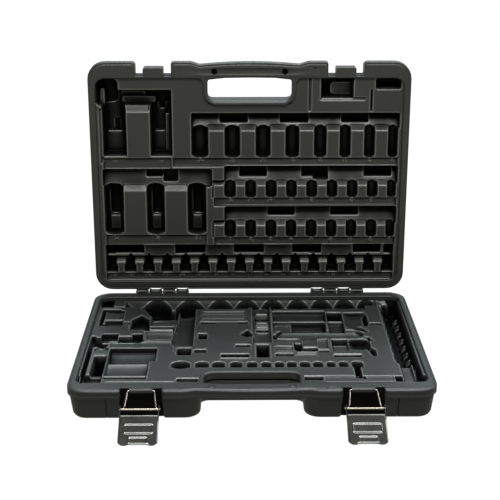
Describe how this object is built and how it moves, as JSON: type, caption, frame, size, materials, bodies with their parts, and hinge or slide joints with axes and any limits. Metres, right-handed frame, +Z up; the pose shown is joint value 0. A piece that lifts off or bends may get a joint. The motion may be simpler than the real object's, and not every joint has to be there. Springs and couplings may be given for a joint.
{
  "type": "tool case",
  "caption": "Open hinged blow-moulded case for a socket wrench set: shaped pockets in both halves, split carrying handle and two over-centre wire latches that close it.",
  "frame": {"origin": "centre of the underside of the base half, where it rests", "axes": "+X to the right along the hinge line, +Y back from the handle to the hinge, +Z up"},
  "size_m": [0.46, 0.4513, 0.3865],
  "materials": {
    "base_plastic": "fine-grained dark blue-grey moulding, soft sheen on edges",
    "lid_plastic": "fine-grained dark green-grey moulding, soft sheen on edges",
    "plated_wire": "bent round wire with a warm bright plating",
    "plated_steel": "pressed sheet steel with a bright bluish plating"
  },
  "bodies": {
    "base": {"base_shell": "base_plastic", "base_rim": "base_plastic", "base_handle": "base_plastic", "base_latch_lugs": "base_plastic", "base_left_knuckles": "base_plastic", "base_right_knuckles": "base_plastic", "base_back_row": "base_plastic", "base_right_channel": "base_plastic", "base_left_bay": "base_plastic", "base_centre_bay": "base_plastic", "base_right_bay": "base_plastic", "base_front_left_bay": "base_plastic", "base_front_row": "base_plastic", "left_hinge_pin": "plated_steel", "right_hinge_pin": "plated_steel"},
    "lid": {"lid_shell": "lid_plastic", "lid_rim": "lid_plastic", "lid_handle": "lid_plastic", "lid_latch_catches": "lid_plastic", "lid_left_knuckles": "lid_plastic", "lid_right_knuckles": "lid_plastic", "lid_ratchet_bay": "lid_plastic", "lid_handle_deck": "lid_plastic", "lid_adapter_bay": "lid_plastic", "lid_long_bay": "lid_plastic", "lid_row_1": "lid_plastic", "lid_row_2": "lid_plastic", "lid_row_3": "lid_plastic", "lid_row_4": "lid_plastic"},
    "left_bail": {"left_bail": "plated_wire"},
    "right_bail": {"right_bail": "plated_wire"},
    "left_lever": {"left_lever": "plated_steel"},
    "right_lever": {"right_lever": "plated_steel"}
  },
  "joints": [
    {"name": "lid_hinge", "type": "hinge", "parent": "base", "child": "lid", "pos_m": [0, 0.1755, 0.041], "axis": [1, 0, 0], "range_deg": [0, 90]},
    {"name": "left_bail_swing", "type": "hinge", "parent": "base", "child": "left_bail", "pos_m": [-0.137, -0.161, 0.0378], "axis": [-1, 0, 0], "range_deg": [0, 124.6]},
    {"name": "right_bail_swing", "type": "hinge", "parent": "base", "child": "right_bail", "pos_m": [0.137, -0.161, 0.0378], "axis": [-1, 0, 0], "range_deg": [0, 124.6]},
    {"name": "left_lever_swing", "type": "hinge", "parent": "left_bail", "child": "left_lever", "pos_m": [-0.137, -0.18406, 0.02395], "axis": [-1, 0, 0], "range_deg": [-183.7, 0]},
    {"name": "right_lever_swing", "type": "hinge", "parent": "right_bail", "child": "right_lever", "pos_m": [0.137, -0.18406, 0.02395], "axis": [-1, 0, 0], "range_deg": [-183.7, 0]}
  ],
  "couplings": [
    {"joint": "left_lever_swing", "follows": "left_bail_swing", "ratio": -1.4735},
    {"joint": "right_lever_swing", "follows": "right_bail_swing", "ratio": -1.4735}
  ]
}
